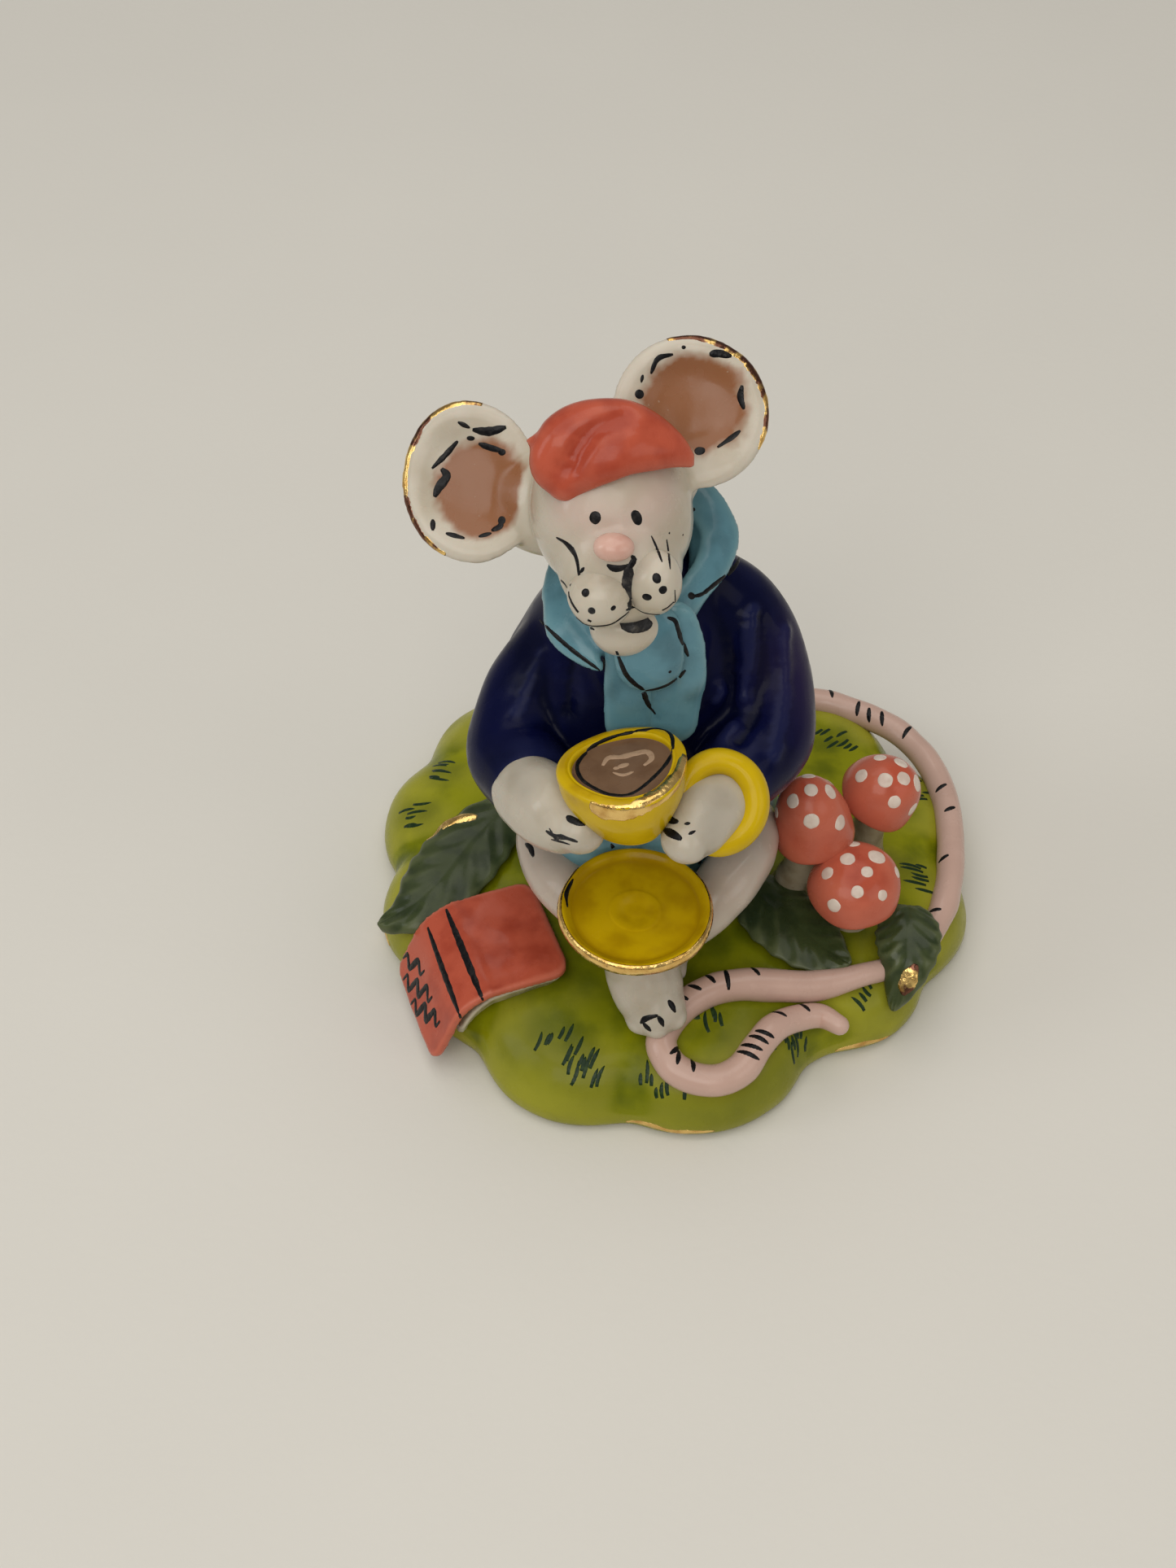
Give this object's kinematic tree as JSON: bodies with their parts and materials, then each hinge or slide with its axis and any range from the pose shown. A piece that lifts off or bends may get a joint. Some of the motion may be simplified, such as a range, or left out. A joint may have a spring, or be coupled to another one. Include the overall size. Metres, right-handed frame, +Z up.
{
  "type": "mouse figurine",
  "caption": "Glazed porcelain figurine of a seated mouse in jacket, scarf and flat cap, holding a teacup on a grass mound with book, leaves and toadstools.",
  "frame": {"origin": "middle of the mound's foot, on the surface it stands on", "axes": "+Z up, the mouse faces -Y, +X is the mouse's own left"},
  "size_m": [0.0818, 0.0789, 0.0922],
  "materials": {
    "grass": "glossy green glaze over lumpy clay",
    "white_glaze": "glossy ivory white glaze",
    "pink_glaze": "glossy pink glaze",
    "navy_glaze": "glossy navy glaze",
    "teal_glaze": "glossy teal glaze",
    "coral_glaze": "glossy coral red glaze",
    "yellow_glaze": "glossy yellow glaze",
    "coffee_glaze": "glossy brown glaze",
    "leaf_glaze": "glossy dark green glaze",
    "stem_glaze": "beige clear glaze",
    "gold_lustre": "fired gold lustre lines",
    "ink_line": "black underglaze brush lines"
  },
  "bodies": {
    "root": {"mound_base": "grass", "leg_right": "white_glaze", "leg_left": "white_glaze", "foot_right": "white_glaze", "foot_left": "white_glaze", "paw_right": "white_glaze", "paw_left": "white_glaze", "head": "white_glaze", "whisker_pad_right": "white_glaze", "whisker_pad_left": "white_glaze", "chin": "white_glaze", "ear_right": "white_glaze", "ear_left": "white_glaze", "book_pages": "white_glaze", "nose": "pink_glaze", "tail": "pink_glaze", "jacket_body": "navy_glaze", "sleeve_right": "navy_glaze", "sleeve_left": "navy_glaze", "shorts": "teal_glaze", "scarf_wrap": "teal_glaze", "scarf_knot": "teal_glaze", "scarf_end_right": "teal_glaze", "scarf_end_left": "teal_glaze", "cap_crown": "coral_glaze", "cap_peak": "coral_glaze", "book_cover": "coral_glaze", "toadstool_inner_cap": "coral_glaze", "toadstool_outer_cap": "coral_glaze", "toadstool_front_cap": "coral_glaze", "cup": "yellow_glaze", "cup_handle": "yellow_glaze", "saucer": "yellow_glaze", "coffee": "coffee_glaze", "leaf_right": "leaf_glaze", "leaf_front": "leaf_glaze", "leaf_left": "leaf_glaze", "toadstool_inner_stem": "stem_glaze", "toadstool_outer_stem": "stem_glaze", "toadstool_front_stem": "stem_glaze"}
  },
  "joints": []
}
